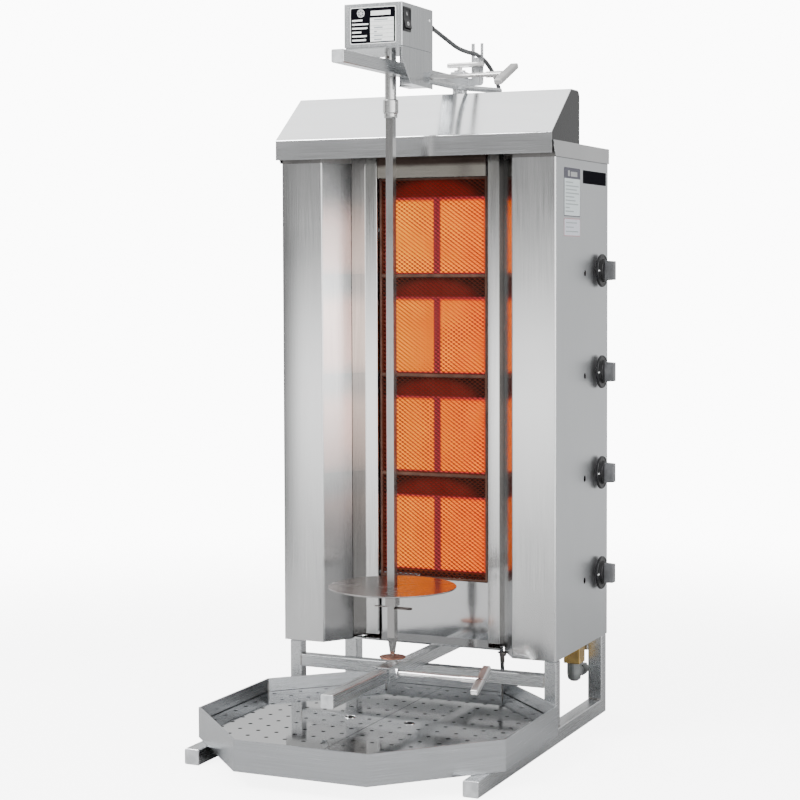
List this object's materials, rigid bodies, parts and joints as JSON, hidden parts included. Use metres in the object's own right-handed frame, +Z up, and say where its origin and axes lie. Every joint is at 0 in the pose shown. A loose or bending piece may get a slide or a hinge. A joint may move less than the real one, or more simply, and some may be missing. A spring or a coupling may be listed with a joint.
{
  "type": "vertical rotisserie broiler",
  "caption": "Vertical rotisserie broiler: stainless cabinet with a stack of infrared gas burners, motor on a sliding carriage, spit with a meat disc, drip tray and power cord.",
  "frame": {"origin": "on the floor under the middle of the whole object's plan, cord left out", "axes": "+Z up, +X to the operator's right where the gas knobs are, -Y towards the operator"},
  "size_m": [0.518, 0.7879, 1.14],
  "materials": {
    "side_frame_left": "ground and lightly polished stainless tube and bar",
    "side_frame_right": "ground and lightly polished stainless tube and bar",
    "front_cross_tube": "ground and lightly polished stainless tube and bar",
    "rear_cross_tube": "ground and lightly polished stainless tube and bar",
    "lower_rail": "ground and lightly polished stainless tube and bar",
    "mast": "ground and lightly polished stainless tube and bar",
    "upper_arm": "ground and lightly polished stainless tube and bar",
    "mast_lock_screw": "ground and lightly polished stainless tube and bar",
    "cable_fork": "ground and lightly polished stainless tube and bar",
    "carriage_bracket": "ground and lightly polished stainless tube and bar",
    "upper_clamp_screw": "ground and lightly polished stainless tube and bar",
    "lower_clamp_screw": "ground and lightly polished stainless tube and bar",
    "lower_saddle": "ground and lightly polished stainless tube and bar",
    "drive_shaft": "ground and lightly polished stainless tube and bar",
    "side_panel_left": "satin brushed stainless sheet",
    "side_panel_right": "satin brushed stainless sheet",
    "channel_left": "satin brushed stainless sheet",
    "channel_right": "satin brushed stainless sheet",
    "back_panel": "satin brushed stainless sheet",
    "bottom_panel": "satin brushed stainless sheet",
    "top_cover": "satin brushed stainless sheet",
    "hood": "satin brushed stainless sheet",
    "upper_apron": "satin brushed stainless sheet",
    "motor_housing": "satin brushed stainless sheet",
    "drip_tray": "satin brushed stainless sheet",
    "lower_apron": "polished stainless, near mirror",
    "spit_rod": "polished stainless, near mirror",
    "meat_disc": "polished stainless, near mirror",
    "bearing_cup": "polished stainless, near mirror",
    "tray_insert_left": "polished stainless, near mirror",
    "tray_insert_right": "polished stainless, near mirror",
    "burner_guard": "heat-darkened steel, dull black-brown",
    "coupling_pin": "heat-darkened steel, dull black-brown",
    "retaining_clip": "heat-darkened steel, dull black-brown",
    "burner_housing_1": "heat-darkened steel, dull black-brown",
    "burner_housing_2": "heat-darkened steel, dull black-brown",
    "burner_housing_3": "heat-darkened steel, dull black-brown",
    "burner_housing_4": "heat-darkened steel, dull black-brown",
    "ceramic_tile_1": "porous ceramic infrared plaque, glowing orange in use",
    "ceramic_tile_2": "porous ceramic infrared plaque, glowing orange in use",
    "ceramic_tile_3": "porous ceramic infrared plaque, glowing orange in use",
    "ceramic_tile_4": "porous ceramic infrared plaque, glowing orange in use",
    "valve_rail": "grey plated gas fitting",
    "gas_elbow": "grey plated gas fitting",
    "gas_inlet_block": "machined brass",
    "valve_spindle_1": "machined brass",
    "valve_spindle_2": "machined brass",
    "valve_spindle_3": "machined brass",
    "valve_spindle_4": "machined brass",
    "rocker_switch": "black moulded thermoset, satin",
    "power_plug": "black moulded thermoset, satin",
    "knob_1": "black moulded thermoset, satin",
    "knob_2": "black moulded thermoset, satin",
    "knob_3": "black moulded thermoset, satin",
    "knob_4": "black moulded thermoset, satin",
    "gear_motor": "dark grey enamelled motor casing",
    "rating_plate": "printed aluminium foil label, wording left out",
    "drip_disc": "dark reddish bronze, heat tinted",
    "power_cord": "dark grey rubber sheath",
    "cord_coil": "dark grey rubber sheath"
  },
  "bodies": {
    "stand": {"side_frame_left": "side_frame_left", "side_frame_right": "side_frame_right", "front_cross_tube": "front_cross_tube", "rear_cross_tube": "rear_cross_tube", "lower_rail": "lower_rail", "mast": "mast", "upper_arm": "upper_arm", "cable_fork": "cable_fork", "side_panel_left": "side_panel_left", "side_panel_right": "side_panel_right", "channel_left": "channel_left", "channel_right": "channel_right", "back_panel": "back_panel", "bottom_panel": "bottom_panel", "top_cover": "top_cover", "hood": "hood", "upper_apron": "upper_apron", "lower_apron": "lower_apron", "burner_housing_1": "burner_housing_1", "burner_housing_2": "burner_housing_2", "burner_housing_3": "burner_housing_3", "burner_housing_4": "burner_housing_4", "ceramic_tile_1": "ceramic_tile_1", "ceramic_tile_2": "ceramic_tile_2", "ceramic_tile_3": "ceramic_tile_3", "ceramic_tile_4": "ceramic_tile_4", "burner_guard": "burner_guard", "valve_rail": "valve_rail", "gas_inlet_block": "gas_inlet_block", "gas_elbow": "gas_elbow", "power_cord": "power_cord", "cord_coil": "cord_coil", "power_plug": "power_plug"},
    "upper_carriage": {"carriage_bracket": "carriage_bracket", "motor_housing": "motor_housing", "gear_motor": "gear_motor", "rating_plate": "rating_plate"},
    "rocker": {"rocker_switch": "rocker_switch"},
    "upper_clamp": {"upper_clamp_screw": "upper_clamp_screw"},
    "spit": {"drive_shaft": "drive_shaft", "coupling_pin": "coupling_pin", "spit_rod": "spit_rod", "drip_disc": "drip_disc"},
    "disc": {"meat_disc": "meat_disc"},
    "clip": {"retaining_clip": "retaining_clip"},
    "lower_carriage": {"lower_saddle": "lower_saddle", "bearing_cup": "bearing_cup"},
    "lower_clamp": {"lower_clamp_screw": "lower_clamp_screw"},
    "mast_lock": {"mast_lock_screw": "mast_lock_screw"},
    "spindle_1": {"valve_spindle_1": "valve_spindle_1"},
    "spindle_2": {"valve_spindle_2": "valve_spindle_2"},
    "spindle_3": {"valve_spindle_3": "valve_spindle_3"},
    "spindle_4": {"valve_spindle_4": "valve_spindle_4"},
    "knob_body_1": {"knob_1": "knob_1"},
    "knob_body_2": {"knob_2": "knob_2"},
    "knob_body_3": {"knob_3": "knob_3"},
    "knob_body_4": {"knob_4": "knob_4"},
    "tray": {"drip_tray": "drip_tray"},
    "insert_left": {"tray_insert_left": "tray_insert_left"},
    "insert_right": {"tray_insert_right": "tray_insert_right"}
  },
  "joints": [
    {"name": "carriage_slide", "type": "slide", "parent": "stand", "child": "upper_carriage", "axis": [0, -1, 0], "range_m": [-0.04, 0.12], "deforming": ["power_cord"]},
    {"name": "lower_carriage_slide", "type": "slide", "parent": "stand", "child": "lower_carriage", "axis": [0, -1, 0], "range_m": [-0.04, 0.12]},
    {"name": "spit_spin", "type": "hinge", "parent": "upper_carriage", "child": "spit", "pos_m": [-0.007, -0.01375, 1], "axis": [0, 0, 1], "continuous": true},
    {"name": "disc_lift", "type": "slide", "parent": "spit", "child": "disc", "axis": [0, 0, 1], "range_m": [0, 0.45]},
    {"name": "clip_pull", "type": "slide", "parent": "spit", "child": "clip", "axis": [1, 0, 0], "range_m": [0, 0.06]},
    {"name": "switch_rock", "type": "hinge", "parent": "upper_carriage", "child": "rocker", "pos_m": [0.037, -0.06015, 1.1148], "axis": [0, 1, 0], "range_deg": [0, 16]},
    {"name": "upper_clamp_turn", "type": "hinge", "parent": "upper_carriage", "child": "upper_clamp", "pos_m": [0.0244, 0.02145, 1.0355], "axis": [1, 0, 0], "range_deg": [0, 360]},
    {"name": "lower_clamp_turn", "type": "hinge", "parent": "lower_carriage", "child": "lower_clamp", "pos_m": [0.0034, -0.03265, 0.1175], "axis": [1, 0, 0], "range_deg": [0, 360]},
    {"name": "mast_lock_turn", "type": "hinge", "parent": "stand", "child": "mast_lock", "pos_m": [0.0145, 0.21285, 1.0625], "axis": [0, 0, 1], "range_deg": [-110, 0]},
    {"name": "valve_turn_1", "type": "hinge", "parent": "stand", "child": "spindle_1", "pos_m": [0.23, 0.28135, 0.2408], "axis": [1, 0, 0], "range_deg": [0, 180]},
    {"name": "knob_push_1", "type": "slide", "parent": "spindle_1", "child": "knob_body_1", "axis": [-1, 0, 0], "range_m": [0, 0.004], "stiffness_N_per_m": 1500},
    {"name": "valve_turn_2", "type": "hinge", "parent": "stand", "child": "spindle_2", "pos_m": [0.23, 0.28135, 0.4062], "axis": [1, 0, 0], "range_deg": [0, 180]},
    {"name": "knob_push_2", "type": "slide", "parent": "spindle_2", "child": "knob_body_2", "axis": [-1, 0, 0], "range_m": [0, 0.004], "stiffness_N_per_m": 1500},
    {"name": "valve_turn_3", "type": "hinge", "parent": "stand", "child": "spindle_3", "pos_m": [0.23, 0.28135, 0.5716], "axis": [1, 0, 0], "range_deg": [0, 180]},
    {"name": "knob_push_3", "type": "slide", "parent": "spindle_3", "child": "knob_body_3", "axis": [-1, 0, 0], "range_m": [0, 0.004], "stiffness_N_per_m": 1500},
    {"name": "valve_turn_4", "type": "hinge", "parent": "stand", "child": "spindle_4", "pos_m": [0.23, 0.28135, 0.737], "axis": [1, 0, 0], "range_deg": [0, 180]},
    {"name": "knob_push_4", "type": "slide", "parent": "spindle_4", "child": "knob_body_4", "axis": [-1, 0, 0], "range_m": [0, 0.004], "stiffness_N_per_m": 1500},
    {"name": "tray_slide", "type": "slide", "parent": "stand", "child": "tray", "axis": [0, -1, 0], "range_m": [0, 0.45]},
    {"name": "insert_left_lift", "type": "slide", "parent": "tray", "child": "insert_left", "axis": [0, 0, 1], "range_m": [0, 0.03]},
    {"name": "insert_right_lift", "type": "slide", "parent": "tray", "child": "insert_right", "axis": [0, 0, 1], "range_m": [0, 0.03]}
  ],
  "couplings": [
    {"joint": "lower_carriage_slide", "follows": "carriage_slide", "ratio": 1}
  ]
}
